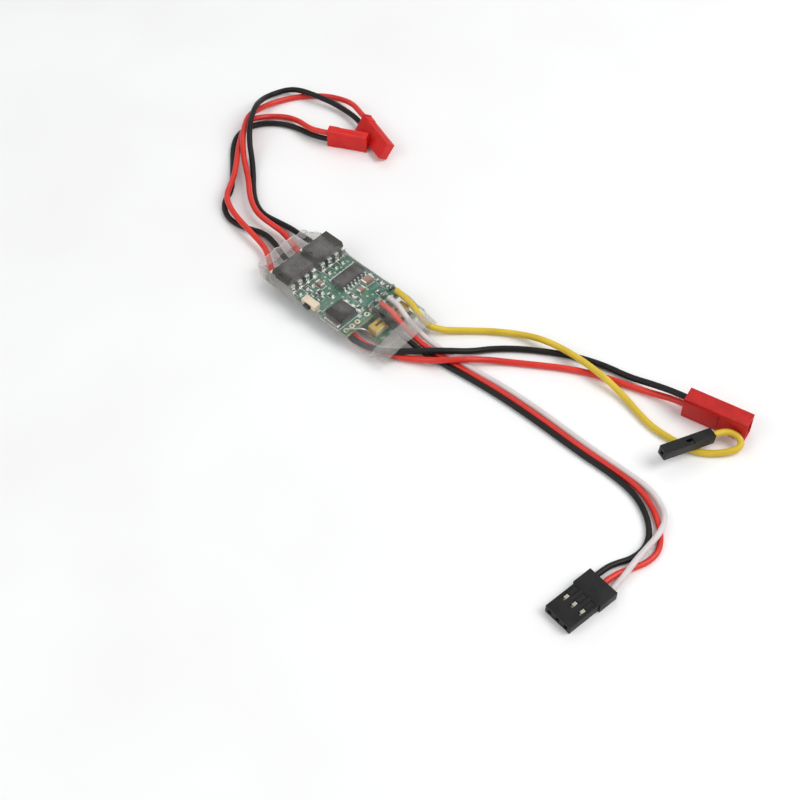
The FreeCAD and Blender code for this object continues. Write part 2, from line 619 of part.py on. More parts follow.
def two_pin_shapes(length):
    half = TWO_PIN_WIDTH / 2
    step = TWO_PIN_COLLAR_STEP
    body = block(0, -half, 0, length, half, TWO_PIN_THICK)
    ears = block(0, -half - step, 0, TWO_PIN_COLLAR_LENGTH, half + step, TWO_PIN_THICK)
    housing = body.fuse(ears).removeSplitter()
    pins = []
    for way in (-1, 1):
        y = way * TWO_PIN_PITCH / 2
        middle = TWO_PIN_THICK / 2
        axis = V(1, 0, 0)
        housing = housing.cut(Part.makeCylinder(TWO_PIN_BORE / 2, length, V(3.0, y, middle), axis))
        sleeve = Part.makeCylinder(TWO_PIN_BORE / 2 - 0.06, length - 4.2, V(3.0, y, middle), axis)
        pins.append(sleeve.cut(Part.makeCylinder(0.4, length, V(5.0, y, middle), axis)))
    return housing, group(pins)


def socket_shapes():
    half = SOCKET_WIDTH / 2
    wall = SOCKET_WALL
    housing = block(0, -half, 0, SOCKET_LENGTH, half, SOCKET_HEIGHT)
    mouth = block(SOCKET_LENGTH - SOCKET_DEPTH, -half + wall, wall,
                  SOCKET_LENGTH + 1, half - wall, SOCKET_HEIGHT - wall)
    housing = housing.cut(mouth)
    rib = block(0, -half - 0.25, 0.9, SOCKET_LENGTH * 0.55, -half, SOCKET_HEIGHT - 0.9)
    housing = housing.fuse(rib).removeSplitter()
    pins = []
    root = SOCKET_LENGTH - SOCKET_DEPTH
    for z in (SOCKET_HEIGHT * 0.3, SOCKET_HEIGHT * 0.7):
        pins.append(Part.makeCylinder(SOCKET_PIN_R, SOCKET_DEPTH - 2.0, V(root, 0, z), V(1, 0, 0)))
    return housing, group(pins)


def servo_shapes():
    half = SERVO_WIDTH / 2
    step = SERVO_BACK_STEP
    housing = block(0, -half, 0, SERVO_LENGTH, half, SERVO_THICK)
    shoulder = block(0, -half - step, 0, SERVO_BACK_LENGTH, half + step, SERVO_THICK)
    housing = housing.fuse(shoulder).removeSplitter()
    contacts = []
    middle = SERVO_THICK / 2
    bore = SERVO_BORE
    for index in (-1, 0, 1):
        y = index * SERVO_PITCH
        tunnel = block(4.5, y - bore / 2, middle - bore / 2, SERVO_LENGTH + 1, y + bore / 2,
                       middle + bore / 2)
        window = block(8.4, y - bore / 2, middle, 10.4, y + bore / 2, SERVO_THICK + 1)
        housing = housing.cut(tunnel).cut(window)
        contact = block(4.5, y - bore / 2 + 0.05, middle - bore / 2 + 0.02, SERVO_LENGTH - 1.2,
                        y + bore / 2 - 0.05, middle + bore / 2 - 0.05)
        spine = block(8.6, y - bore / 2 + 0.1, middle, 9.8, y + bore / 2 - 0.1, SERVO_THICK - 0.25)
        hollow = block(10.6, y - 0.3, middle - 0.3, SERVO_LENGTH, y + 0.3, middle + 0.3)
        contacts.append(contact.fuse(spine).removeSplitter().cut(hollow))
    return housing, group(contacts)


def single_shapes():
    half = SINGLE_WIDTH / 2
    bore = SERVO_BORE
    middle = SINGLE_HEIGHT / 2
    housing = block(0, -half, 0, SINGLE_LENGTH, half, SINGLE_HEIGHT)
    tunnel = block(4.5, -bore / 2, middle - bore / 2, SINGLE_LENGTH + 1, bore / 2, middle + bore / 2)
    window = block(6.4, -bore / 2, middle, 8.6, bore / 2, SINGLE_HEIGHT + 1)
    contact = block(4.5, -bore / 2 + 0.05, middle - bore / 2 + 0.02, SINGLE_LENGTH - 1.2,
                    bore / 2 - 0.05, middle + bore / 2 - 0.05)
    hollow = block(9.0, -0.3, middle - 0.3, SINGLE_LENGTH, 0.3, middle + 0.3)
    return housing.cut(tunnel).cut(window), contact.cut(hollow)


def make_connectors():
    """Each connector set down by its wire end (x, y, z), its heading and its roll."""
    set_down = (
        ("motor_connector_a", two_pin_shapes(11.6), (-47.6, 42.8, 2.7, 28.5, 90)),
        ("motor_connector_b", two_pin_shapes(TWO_PIN_LENGTH), (-42.5, 53.6, 2.35, -16, 60)),
        ("battery_connector", socket_shapes(), (87.4, 32.4, 0.0, 11.0, 0)),
        ("servo_plug", servo_shapes(), (103.5, -21.8, 0.0, -96.3, 0)),
        ("second_plug", single_shapes(), (97.3, 27.6, 2.05, -111, 0)),
    )
    for name, (housing, contacts), (x, y, z, yaw, roll) in set_down:
        nodes[name] = placed(housing, x, y, z, yaw, roll)
        nodes[name + "_contacts"] = placed(contacts, x, y, z, yaw, roll)


make_sleeve()
make_boards()
make_link_wire()
make_driver("driver_a", -1)
make_driver("driver_b", 1)
make_controller()
make_regulator()
make_button()
make_small_components()
make_smoothing_capacitors()
make_wires()
make_connectors()
for name, shape in nodes.items():
    shape.exportStep("parts/" + name + ".step")
print(len(nodes), "nodes")
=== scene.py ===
"""Electronic speed controller in a clear sleeve, with its leads and plugs, on a pale table.

Metres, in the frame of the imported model: X along the board from the motor leads to the battery
lead, Y across it, Z up, with the origin under the middle of the sleeve.
"""
import math

import bpy
from mathutils import Matrix, Vector, noise


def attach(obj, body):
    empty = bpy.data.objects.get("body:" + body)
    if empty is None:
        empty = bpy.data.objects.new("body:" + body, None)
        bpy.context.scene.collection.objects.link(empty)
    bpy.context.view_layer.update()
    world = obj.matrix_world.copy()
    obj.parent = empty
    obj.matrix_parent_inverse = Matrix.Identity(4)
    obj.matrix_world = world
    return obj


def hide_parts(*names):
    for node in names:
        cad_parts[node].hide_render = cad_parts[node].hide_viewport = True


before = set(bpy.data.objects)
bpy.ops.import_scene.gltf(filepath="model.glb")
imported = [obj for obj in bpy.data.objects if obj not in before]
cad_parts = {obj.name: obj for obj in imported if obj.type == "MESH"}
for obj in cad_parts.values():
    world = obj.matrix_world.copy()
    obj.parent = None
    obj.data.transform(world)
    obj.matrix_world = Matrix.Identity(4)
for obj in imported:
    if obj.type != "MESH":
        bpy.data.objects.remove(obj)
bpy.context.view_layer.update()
MM = 0.001
BODY = "controller"
CREASE_ANGLE = 32


# ---------------------------------------------------------------- working by hand, in code

def clear_selection():
    if bpy.context.object and bpy.context.object.mode != "OBJECT":
        bpy.ops.object.mode_set(mode="OBJECT")
    bpy.ops.object.select_all(action="DESELECT")


def activate(piece):
    clear_selection()
    piece.select_set(True)
    bpy.context.view_layer.objects.active = piece


def settle(piece):
    """Leave the piece's own axes on the origin, unturned and unscaled."""
    activate(piece)
    bpy.ops.object.transform_apply(location=True, rotation=True, scale=True)


def modify(piece, kind, **settings):
    """Add a modifier with these settings and apply it."""
    activate(piece)
    modifier = piece.modifiers.new(kind.title(), kind)
    for key, value in settings.items():
        setattr(modifier, key, value)
    bpy.ops.object.modifier_apply(modifier=modifier.name)


def smooth_by_angle(piece):
    """Shade smooth, but keep every edge sharper than the crease angle crisp."""
    activate(piece)
    bpy.ops.object.shade_smooth_by_angle(angle=math.radians(CREASE_ANGLE))


def round_edges(piece, width, segments=2, angle=35):
    """Break the sharp edges. Width in mm."""
    modify(piece, "BEVEL", width=width * MM, segments=segments, limit_method="ANGLE",
           angle_limit=math.radians(angle), harden_normals=False)
    smooth_by_angle(piece)


def block(name, x0, y0, z0, x1, y1, z1):
    """A block between two opposite corners, in mm."""
    clear_selection()
    centre = ((x0 + x1) / 2 * MM, (y0 + y1) / 2 * MM, (z0 + z1) / 2 * MM)
    bpy.ops.mesh.primitive_cube_add(size=1, location=centre)
    piece = bpy.context.object
    piece.name = name
    piece.scale = ((x1 - x0) * MM, (y1 - y0) * MM, (z1 - z0) * MM)
    settle(piece)
    return piece


def centred(name, x, y, z, along, across, high):
    """A block centred on x and y that stands on z, in mm."""
    return block(name, x - along / 2, y - across / 2, z, x + along / 2, y + across / 2, z + high)


def rod(name, x, y, z, radius, length, axis="Z", sides=24):
    """A cylinder that starts at x, y, z and runs along an axis, in mm."""
    clear_selection()
    turn = {"X": (0, math.pi / 2, 0), "Y": (-math.pi / 2, 0, 0), "Z": (0, 0, 0)}[axis]
    step = {"X": (1, 0, 0), "Y": (0, 1, 0), "Z": (0, 0, 1)}[axis]
    centre = Vector((x, y, z)) * MM + Vector(step) * length * MM / 2
    bpy.ops.mesh.primitive_cylinder_add(radius=radius * MM, depth=length * MM, vertices=sides,
                                        location=centre, rotation=turn)
    piece = bpy.context.object
    piece.name = name
    settle(piece)
    return piece


def cut(piece, *tools):
    """Cut each tool out of the piece and throw the tool away."""
    for tool in tools:
        modify(piece, "BOOLEAN", operation="DIFFERENCE", solver="EXACT", object=tool)
        bpy.data.objects.remove(tool)


def join(name, pieces):
    """Join pieces into the first of them."""
    clear_selection()
    for piece in pieces:
        piece.select_set(True)
    bpy.context.view_layer.objects.active = pieces[0]
    if len(pieces) > 1:
        bpy.ops.object.join()
    pieces[0].name = name
    return pieces[0]


def pick_vertices(piece, test):
    """Go into edit mode with only the vertices that pass the test selected. The test gets mm."""
    activate(piece)
    bpy.ops.object.mode_set(mode="EDIT")
    bpy.ops.mesh.select_mode(type="VERT")
    bpy.ops.mesh.select_all(action="DESELECT")
    bpy.ops.object.mode_set(mode="OBJECT")
    for vertex in piece.data.vertices:
        vertex.select = test(vertex.co / MM)
    bpy.ops.object.mode_set(mode="EDIT")


def finish_edit():
    bpy.ops.object.mode_set(mode="OBJECT")


def give(piece, *materials):
    """The piece's materials, in slot order."""
    piece.data.materials.clear()
    for material in materials:
        piece.data.materials.append(material)


def hand_over(piece, slot, *nodes):
    """The piece rides with the board and stands for CAD nodes, whose parts it hides. The slot is
    not used.
    """
    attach(piece, BODY)
    if nodes:
        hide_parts(*nodes)
    return piece


# ---------------------------------------------------------------- materials

def linear(code):
    """A hex colour as linear red, green, blue and full alpha."""
    values = [int(code[place:place + 2], 16) / 255 for place in (1, 3, 5)]
    return tuple(v / 12.92 if v <= 0.04045 else ((v + 0.055) / 1.055) ** 2.4
                 for v in values) + (1.0,)


def new_material(name, **uniform):
    """A material with values set on its shader's own sockets."""
    material = bpy.data.materials.new(name)
    material.use_nodes = True
    tree = material.node_tree
    shader = tree.nodes["Principled BSDF"]
    for key, value in uniform.items():
        shader.inputs[key.replace("_", " ")].default_value = value
    return material, tree, shader


def add(tree, kind, links=None, values=None, **settings):
    """Add a node with its settings, its values and what is linked into it."""
    node = tree.nodes.new(kind)
    for key, value in settings.items():
        setattr(node, key, value)
    for key, value in (values or {}).items():
        node.inputs[key].default_value = value
    for key, socket in (links or {}).items():
        tree.links.new(socket, node.inputs[key])
    return node


def object_place(tree):
    return add(tree, "ShaderNodeTexCoord").outputs["Object"]


def speckle(tree, place, size, detail=4.0, roughness=0.55):
    """Noise whose lumps are about size mm across."""
    return add(tree, "ShaderNodeTexNoise", {"Vector": place},
               {"Scale": 1 / (size * MM), "Detail": detail, "Roughness": roughness}).outputs["Fac"]


def ramp(tree, source, *stops):
    """A colour ramp through (position, hex colour) stops."""
    node = add(tree, "ShaderNodeValToRGB", {"Fac": source})
    elements = node.color_ramp.elements
    while len(elements) < len(stops):
        elements.new(0.5)
    for element, (position, code) in zip(elements, stops):
        element.position = position
        element.color = linear(code)
    return node.outputs["Color"]


def spread(tree, source, low, high):
    """The source's middle range brought to between low and high."""
    return add(tree, "ShaderNodeMapRange", {"Value": source},
               {"From Min": 0.3, "From Max": 0.7, "To Min": low, "To Max": high}).outputs["Result"]


def bump(tree, shader, source, depth, strength=1.0):
    """Surface relief, depth in mm."""
    node = add(tree, "ShaderNodeBump", {"Height": source},
               {"Distance": depth * MM, "Strength": strength})
    tree.links.new(node.outputs["Normal"], shader.inputs["Normal"])


def plastic(name, dark, light, rough=(0.35, 0.5), grain=0.12, relief=0.01, mottle=2.2, ior=1.5):
    """Moulded or extruded plastic: a slow drift of tone, and a fine skin that breaks highlights."""
    material, tree, shader = new_material(name, IOR=ior)
    place = object_place(tree)
    drift = speckle(tree, place, mottle, 3.0)
    fine = speckle(tree, place, grain, 3.0)
    tree.links.new(ramp(tree, drift, (0.3, dark), (0.7, light)), shader.inputs["Base Color"])
    tree.links.new(spread(tree, drift, *rough), shader.inputs["Roughness"])
    bump(tree, shader, fine, relief)
    return material


def metal(name, dark, light, rough=(0.22, 0.4), grain=0.25, relief=0.012):
    """Tinned or plated metal: uneven brightness and slightly orange-peeled plating."""
    material, tree, shader = new_material(name, Metallic=1.0)
    place = object_place(tree)
    patch = speckle(tree, place, grain, 4.0)
    tree.links.new(ramp(tree, patch, (0.3, dark), (0.7, light)), shader.inputs["Base Color"])
    tree.links.new(spread(tree, patch, *rough), shader.inputs["Roughness"])
    bump(tree, shader, patch, relief)
    return material


def solder_mask():
    """Green varnish over copper: tracks and pours show as paler bands that stand up a little,
    with darker gaps between them, under a glossy skin."""
    material, tree, shader = new_material("green_solder_mask", IOR=1.52)
    place = object_place(tree)
    long_way = add(tree, "ShaderNodeTexBrick", {"Vector": place},
                   {"Color1": linear("#2f7a60"), "Color2": linear("#256b54"),
                    "Mortar": linear("#0f4633"), "Scale": 1 / MM, "Mortar Size": 0.09,
                    "Mortar Smooth": 0.3, "Brick Width": 3.7, "Row Height": 0.62, "Bias": 0.0})
    turned = add(tree, "ShaderNodeMapping", {"Vector": place}, {"Rotation": (0, 0, math.pi / 2)})
    short_way = add(tree, "ShaderNodeTexBrick", {"Vector": turned.outputs["Vector"]},
                    {"Color1": linear("#33745c"), "Color2": linear("#205a47"),
                     "Mortar": linear("#134434"), "Scale": 1 / MM, "Mortar Size": 0.12,
                     "Mortar Smooth": 0.3, "Brick Width": 5.1, "Row Height": 1.35, "Bias": 0.1})
    region = spread(tree, speckle(tree, place, 5.5, 1.0), -1.0, 2.0)
    pattern = add(tree, "ShaderNodeMix", {0: region, 6: long_way.outputs["Color"],
                                          7: short_way.outputs["Color"]}, data_type="RGBA")
    dust = speckle(tree, place, 0.5, 5.0)
    dusty = add(tree, "ShaderNodeMix", {0: spread(tree, dust, 0.0, 0.16),
                                        6: pattern.outputs[2]}, {7: linear("#7d9a8b")},
                data_type="RGBA")
    tree.links.new(dusty.outputs[2], shader.inputs["Base Color"])
    tree.links.new(spread(tree, dust, 0.2, 0.38), shader.inputs["Roughness"])
    relief = add(tree, "ShaderNodeMix", {0: region, 2: long_way.outputs["Fac"],
                                         3: short_way.outputs["Fac"]})
    valley = add(tree, "ShaderNodeMath", {1: relief.outputs[0]}, {0: 1.0}, operation="SUBTRACT")
    bump(tree, shader, valley.outputs["Value"], 0.035)
    return material


def clear_film(name, haze, tint, glossy=(0.1, 0.26)):
    """Shrunk clear film: nearly see-through, milky in drifts where it stands off what is under
    it, with small creases that catch the light. haze is the least and most cover."""
    material, tree, shader = new_material(name, IOR=1.54)
    shader.inputs["Base Color"].default_value = linear(tint)
    place = object_place(tree)
    drift = speckle(tree, place, 6.5, 2.0)
    crease = add(tree, "ShaderNodeTexNoise", {"Vector": place},
                 {"Scale": 1 / (2.4 * MM), "Detail": 3.0, "Distortion": 1.4}).outputs["Fac"]
    tree.links.new(spread(tree, drift, *haze), shader.inputs["Alpha"])
    tree.links.new(spread(tree, crease, *glossy), shader.inputs["Roughness"])
    bump(tree, shader, crease, 0.12, 0.7)
    return material


# Soft extruded insulation: an even colour with a broad, quiet highlight along each wire.
INSULATION = {
    "red": plastic("red_wire_insulation", "#cf2418", "#e23426", (0.3, 0.42), 0.25, 0.012, 9.0),
    "black": plastic("black_wire_insulation", "#12100f", "#1c1a19", (0.36, 0.5), 0.25, 0.012, 9.0,
                     ior=1.36),
    "white": plastic("white_wire_insulation", "#cfc6c5", "#ddd5d4", (0.4, 0.52), 0.25, 0.01, 8.0),
    "yellow": plastic("yellow_wire_insulation", "#cfae1e", "#e2c234", (0.36, 0.5), 0.25, 0.012,
                      8.0),
}
# Connector mouldings: saturated red, a shade deeper and duller at the battery socket's root.
RED_HOUSING = plastic("red_moulded_housing", "#c81512", "#dc211c", (0.38, 0.48), 0.2, 0.008, 3.0,
                      ior=1.4)
DARK_RED_HOUSING = plastic("dark_red_moulded_housing", "#b01512", "#c61d19", (0.4, 0.5), 0.2,
                           0.01, 3.0, ior=1.38)
# Plug mouldings: near black with a satin skin, so only their edges catch the light.
BLACK_HOUSING = plastic("black_moulded_housing", "#141211", "#1f1d1c", (0.4, 0.52), 0.15, 0.01,
                        2.0, ior=1.36)
# Moulded chip bodies: warm dark grey and matt, paler than the plugs.
CHIP_EPOXY = plastic("moulded_chip_epoxy", "#3d3937", "#494542", (0.5, 0.66), 0.09, 0.02, 1.6,
                     ior=1.4)
# The button: a creamy shell with a black actuator.
BUTTON_CREAM = plastic("cream_button_shell", "#d9c7ad", "#e8d9c2", (0.4, 0.5), 0.1, 0.01, 1.2)
BUTTON_BLACK = plastic("black_button_plunger", "#151413", "#24211f", (0.35, 0.45), 0.1, 0.01, 0.8)
# Small parts: biscuit-brown ceramic, and dark glaze on the resistors.
CERAMIC = plastic("brown_fired_ceramic", "#8a6250", "#a07a66", (0.4, 0.55), 0.08, 0.012, 0.9)
RESISTOR_GLAZE = plastic("black_resistor_glaze", "#363835", "#474843", (0.25, 0.4), 0.08, 0.006,
                         0.6)
# Smoothing capacitors: golden tops, a dark printed oblong, and a paler side facing +X that is
# painted light, where the key lamp falls on it.
YELLOW_CASE = plastic("yellow_capacitor_case", "#b08d22", "#c9a636", (0.38, 0.5), 0.1, 0.012, 1.0)
LIT_SIDE_CASE = plastic("painted_light_capacitor_side", "#d6c98a", "#e6dba6", (0.4, 0.5), 0.1, 0.01, 1.0)
DARK_MARK = plastic("dark_polarity_mark", "#2b2618", "#3a3322", (0.45, 0.55), 0.1, 0.005, 0.8)
# The bare board: chalky white print, and an edge where the glass-epoxy shows through.
SILKSCREEN = plastic("white_silkscreen_ink", "#cfd3cc", "#e4e7e0", (0.55, 0.7), 0.08, 0.01, 0.5)
BOARD_EDGE = plastic("glass_epoxy_board_edge", "#8f9a62", "#a8b07a", (0.5, 0.7), 0.1, 0.03, 0.7)
# Bright metals: tinned legs, duller solder, plated contacts and brassy rings.
TINNED = metal("tinned_leg", "#b9b8b2", "#e6e5df")
SOLDER = metal("solder_joint", "#8f908b", "#c2c3bd", (0.24, 0.42), 0.4, 0.03)
CONTACT = metal("plated_contact", "#a8a294", "#d8d3c4", (0.2, 0.35))
BRASS_RING = metal("plated_ring", "#b8ab86", "#ddd3b2", (0.25, 0.4))
MASK = solder_mask()
# The sleeve: almost invisible on top; on the faces that turn sideways, where it is seen edge-on, a
# greyer, denser cover that is painted sheen; at its cut ends a pale band that is a painted
# highlight along the cut edge.
FILM = clear_film("clear_shrink_film", (0.0, 0.07), "#e9e8e5")
FILM_SIDE_SHEEN = clear_film("painted_sheen_on_film_sides", (0.36, 0.58), "#b4b1ab")
FILM_MOUTH = clear_film("loose_end_of_clear_film", (0.14, 0.32), "#c9c5c0")
FILM_RIM_HIGHLIGHT = clear_film("painted_highlight_on_film_cut_edge", (0.6, 0.85), "#e9e7e3")

for node in ("controller_chip_legs", "driver_a_legs", "driver_b_legs", "regulator_legs",
             "button_terminals", "capacitor_ends", "resistor_ends", "smoothing_capacitor_feet",
             "board_link_pins", "bare_link_wire"):
    give(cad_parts[node], TINNED)
for node in ("motor_connector_a_contacts", "motor_connector_b_contacts",
             "battery_connector_contacts", "servo_plug_contacts", "second_plug_contacts",
             "button_dome"):
    give(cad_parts[node], CONTACT)
give(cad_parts["plated_rings"], BRASS_RING)
give(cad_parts["chip_resistors"], RESISTOR_GLAZE)
give(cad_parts["ceramic_capacitors"], CERAMIC)
give(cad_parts["button_plunger"], BUTTON_BLACK)


# ---------------------------------------------------------------- camera, table and light

clear_selection()
bpy.ops.object.camera_add(location=(0.193, -0.184, 0.2905),
                          rotation=(math.radians(38.8), 0, math.radians(43.2)))
camera = bpy.context.object
camera.data.lens = 67.5
camera.data.sensor_width = 36
camera.data.clip_start = 0.01
bpy.context.scene.camera = camera


def table_top():
    """Smooth pale laminate: a barely uneven white with a soft sheen."""
    material, tree, shader = new_material("pale_table_top")
    place = object_place(tree)
    drift = speckle(tree, place, 60.0, 2.0)
    tree.links.new(ramp(tree, drift, (0.3, "#f6f5f4"), (0.7, "#fbfbfa")),
                   shader.inputs["Base Color"])
    tree.links.new(spread(tree, drift, 0.55, 0.65), shader.inputs["Roughness"])
    return material


bpy.ops.mesh.primitive_plane_add(size=3.0, location=(0, 0, 0))
floor = bpy.context.object
floor.name = "table"
give(floor, table_top())

world = bpy.data.worlds.new("soft_room")
world.use_nodes = True
world.node_tree.nodes["Background"].inputs["Color"].default_value = (0.96, 0.98, 1.0, 1.0)
world.node_tree.nodes["Background"].inputs["Strength"].default_value = 0.48
bpy.context.scene.world = world
bpy.context.scene.view_settings.view_transform = "Standard"


def softbox(name, place, aim, width, depth, watts):
    direction = Vector(aim) - Vector(place)
    bpy.ops.object.light_add(type="AREA", location=place,
                             rotation=direction.to_track_quat("-Z", "Y").to_euler())
    light = bpy.context.object
    light.name = name
    light.data.shape = "RECTANGLE"
    light.data.size = width
    light.data.size_y = depth
    light.data.energy = watts


softbox("key_softbox", (0.42, 0.3, 0.6), (0.02, 0, 0), 0.5, 0.5, 3.4)
softbox("rear_softbox", (-0.3, 0.4, 0.6), (0.02, 0, 0), 0.5, 0.3, 0.6)
softbox("front_softbox", (-0.15, -0.5, 0.5), (0.02, 0, 0), 0.6, 0.4, 1.3)


# ---------------------------------------------------------------- wires

def wire(name, colour, diameter, route):
    """A free wire: a smooth line through its route, in mm."""
    clear_selection()
    line = bpy.data.curves.new(name + "_insulated", "CURVE")
    line.dimensions = "3D"
    line.bevel_depth = diameter / 2 * MM
    line.bevel_resolution = 5
    line.resolution_u = 10
    line.use_fill_caps = True
    spline = line.splines.new("NURBS")
    spline.points.add(len(route) - 1)
    for point, (x, y, z) in zip(spline.points, route):
        point.co = (x * MM, y * MM, z * MM, 1)
    spline.order_u = 3
    spline.use_endpoint_u = True
    piece = bpy.data.objects.new(name + "_insulated", line)
    bpy.context.scene.collection.objects.link(piece)
    line.materials.append(INSULATION[colour])
    hand_over(piece, "wire_" + colour, name)
    return piece


# ---------------------------------------------------------------- connectors
# Each is made with its wire end at the origin and its front along +X, then set down.

def set_down(piece, x, y, z, heading, roll=0, pitch=0):
    piece.matrix_world = (Matrix.Translation(Vector((x, y, z)) * MM)
                          @ Matrix.Rotation(math.radians(heading), 4, "Z")
                          @ Matrix.Rotation(math.radians(-pitch), 4, "Y")
                          @ Matrix.Rotation(math.radians(roll), 4, "X"))
    settle(piece)


def fuse(piece, *others):
    """Weld other solids onto the piece."""
    for other in others:
        modify(piece, "BOOLEAN", operation="UNION", solver="EXACT", object=other)
        bpy.data.objects.remove(other)


def two_pin_housing(name, length, place, lip, sockets=True):
    """A motor connector: a collar with a thin lip at the wire end, a flat moulded body and, at
    its front, two round sockets or a plain face."""
    piece = block(name + "_moulding", 0, -2.5, 0.04, length, 2.5, 2.86)
    fuse(piece, block("collar", -0.01, -2.65, 0.0, 2.9, 2.65, 2.9),
         block("lip", -0.05, -lip, 0.1, 0.5, lip, 2.82))
    round_edges(piece, 0.12, 3)
    if sockets:
        cut(piece, rod("socket", 3, -1.15, 1.45, 0.75, length, "X"),
            rod("socket", 3, 1.15, 1.45, 0.75, length, "X"))
    cut(piece, block("rear_recess", -1, -2.05, 0.6, 0.25, 2.05, 2.3),
        block("side_groove", 3.6, -3, 1.3, length - 1.6, -2.38, 1.6),
        block("side_groove", 3.6, 2.38, 1.3, length - 1.6, 3, 1.6))
    smooth_by_angle(piece)
    give(piece, RED_HOUSING)
    set_down(piece, *place)
    return hand_over(piece, "connector_red", name)


def battery_housing(place):
    """The battery socket: a thick root where the wires go in, then a thin open shroud."""
    piece = block("battery_connector_moulding", 0, -2.1, 0, 16.6, 2.1, 6.5)
    fuse(piece, block("root_rib", 0.01, -2.35, 0.9, 9.1, -2.0, 5.8),
         block("root_rib", 0.01, 2.0, 0.9, 9.1, 2.3, 5.8))
    round_edges(piece, 0.2, 3)
    cut(piece, block("mouth", 7.6, -1.66, 0.44, 18, 1.66, 6.06),
        block("rear_recess", -1, -1.2, 1.0, 0.3, 1.2, 5.8))
    smooth_by_angle(piece)
    give(piece, RED_HOUSING, DARK_RED_HOUSING)
    for face in piece.data.polygons:
        face.material_index = 1 if face.center.x < 9.2 * MM else 0
    set_down(piece, *place)
    return hand_over(piece, "connector_red", "battery_connector")


def servo_housing(place):
    """The receiver plug: a wide shoulder, three windows with latch tongues, three sockets."""
    piece = block("servo_plug_moulding", 0, -3.85, 0.05, 14.4, 3.85, 2.54)
    fuse(piece, block("shoulder", -0.01, -4.3, 0.0, 5.4, 4.3, 2.6))
    round_edges(piece, 0.16, 3)
    tools = []
    for y in (-2.54, 0.0, 2.54):
        tools.append(block("socket", 4.5, y - 0.5, 0.8, 16, y + 0.5, 1.8))
        tools.append(block("window", 8.4, y - 0.5, 1.3, 10.4, y + 0.5, 4))
        for side in (-0.72, 0.62):
            tools.append(block("tongue_slit", 5.9, y + side, 2.25, 9.2, y + side + 0.1, 4))
        tools.append(block("tongue_slit", 5.8, y - 0.72, 2.25, 5.95, y + 0.72, 4))
        tools.append(rod("wire_hole", -1, y, 1.3, 0.72, 1.4, "X"))
    cut(piece, *tools)
    smooth_by_angle(piece)
    give(piece, BLACK_HOUSING)
    set_down(piece, *place)
    return hand_over(piece, "plug_black", "servo_plug")


def single_housing(place):
    """The one-way plug: a narrow bar with a raised root, one window and one socket."""
    piece = block("second_plug_moulding", 0, -1.42, 0, 14.5, 1.42, 2.9)
    round_edges(piece, 0.16, 3)
    cut(piece, block("socket", 4.5, -0.5, 0.95, 15, 0.5, 1.95),
        block("window", 6.1, -0.4, 1.45, 7.9, 0.4, 5),
        block("step", 6.0, -3, 2.72, 15, 3, 5),
        rod("wire_hole", -1, 0, 1.45, 0.9, 1.3, "X"))
    smooth_by_angle(piece)
    give(piece, BLACK_HOUSING)
    set_down(piece, *place)
    return hand_over(piece, "plug_black", "second_plug")


motor_a = two_pin_housing("motor_connector_a", 11.6, (-47.6, 42.8, 2.7, 28.5, 90), 2.69)
motor_b = two_pin_housing("motor_connector_b", 14.3, (-42.8, 53.1, 2.45, -18, 57), 2.85, False)
battery = battery_housing((86.4, 32.1, 0.0, 12.5))
receiver = servo_housing((103.5, -21.8, 0.0, -96.3))
second = single_housing((97.3, 27.6, 2.05, -111, 0, 5.5))


# ---------------------------------------------------------------- boards

TOP = 4.2
LOWER_TOP = 1.7
DRIVER_X = -13.35
DRIVER_ROWS = (-5.1, 5.8)
DRIVER_PITCH = 2.54
CONTROLLER_X = -2.4
CONTROLLER_Y = 4.4
CONTROLLER_PITCH = 1.27
REGULATOR_X = 5.3
REGULATOR_Y = -6.2

def circuit_board(name, x0, y0, z0, x1, y1, z1, holes):
    """A board with green faces, raw glass-epoxy edges and drilled holes."""
    piece = block(name + "_laminate", x0, y0, z0, x1, y1, z1)
    round_edges(piece, 0.06, 2)
    cut(piece, *[rod("hole", x, y, z0 - 1, 0.35, 4) for x, y in holes])
    give(piece, MASK, BOARD_EDGE)
    for face in piece.data.polygons:
        face.material_index = 0 if abs(face.normal.z) > 0.7 else 1
    return hand_over(piece, "board_green", name)


RING_PLACES = [(9.9, -1.4), (9.9, -4.9), (9.9, -6.9), (9.9, -9.0)]
circuit_board("main_board", -18.5, -10.25, 3.2, 11.2, 10.25, 4.2, RING_PLACES)
circuit_board("lower_board", -7.0, -4.6, 0.9, 18.0, 8.8, 1.7, [(16.6, -3.2), (16.4, 1.9)])


def flat_bars(name, material, slot, z, bars):
    """Thin flat shapes on a board: x, y, along and across of each, in mm."""
    pieces = [centred(name, x, y, z, along, across, 0.03) for x, y, along, across in bars]
    piece = join(name, pieces)
    give(piece, material)
    return hand_over(piece, slot)


def frame_bars(x, y, along, across, line=0.16):
    """Four bars that outline a rectangle."""
    return [(x, y - across / 2, along + line, line), (x, y + across / 2, along + line, line),
            (x - along / 2, y, line, across), (x + along / 2, y, line, across)]


def bracket_bars(x, y, along, across, lengthways, line=0.16):
    """The two brackets printed round a chip part."""
    bars = []
    for way in (-1, 1):
        if lengthways:
            bars.append((x, y + way * across / 2, along * 0.55, line))
            bars.append((x + way * along / 2, y, line, across * 0.9))
        else:
            bars.append((x + way * across / 2, y, line, along * 0.55))
            bars.append((x, y + way * along / 2, across * 0.9, line))
    return bars


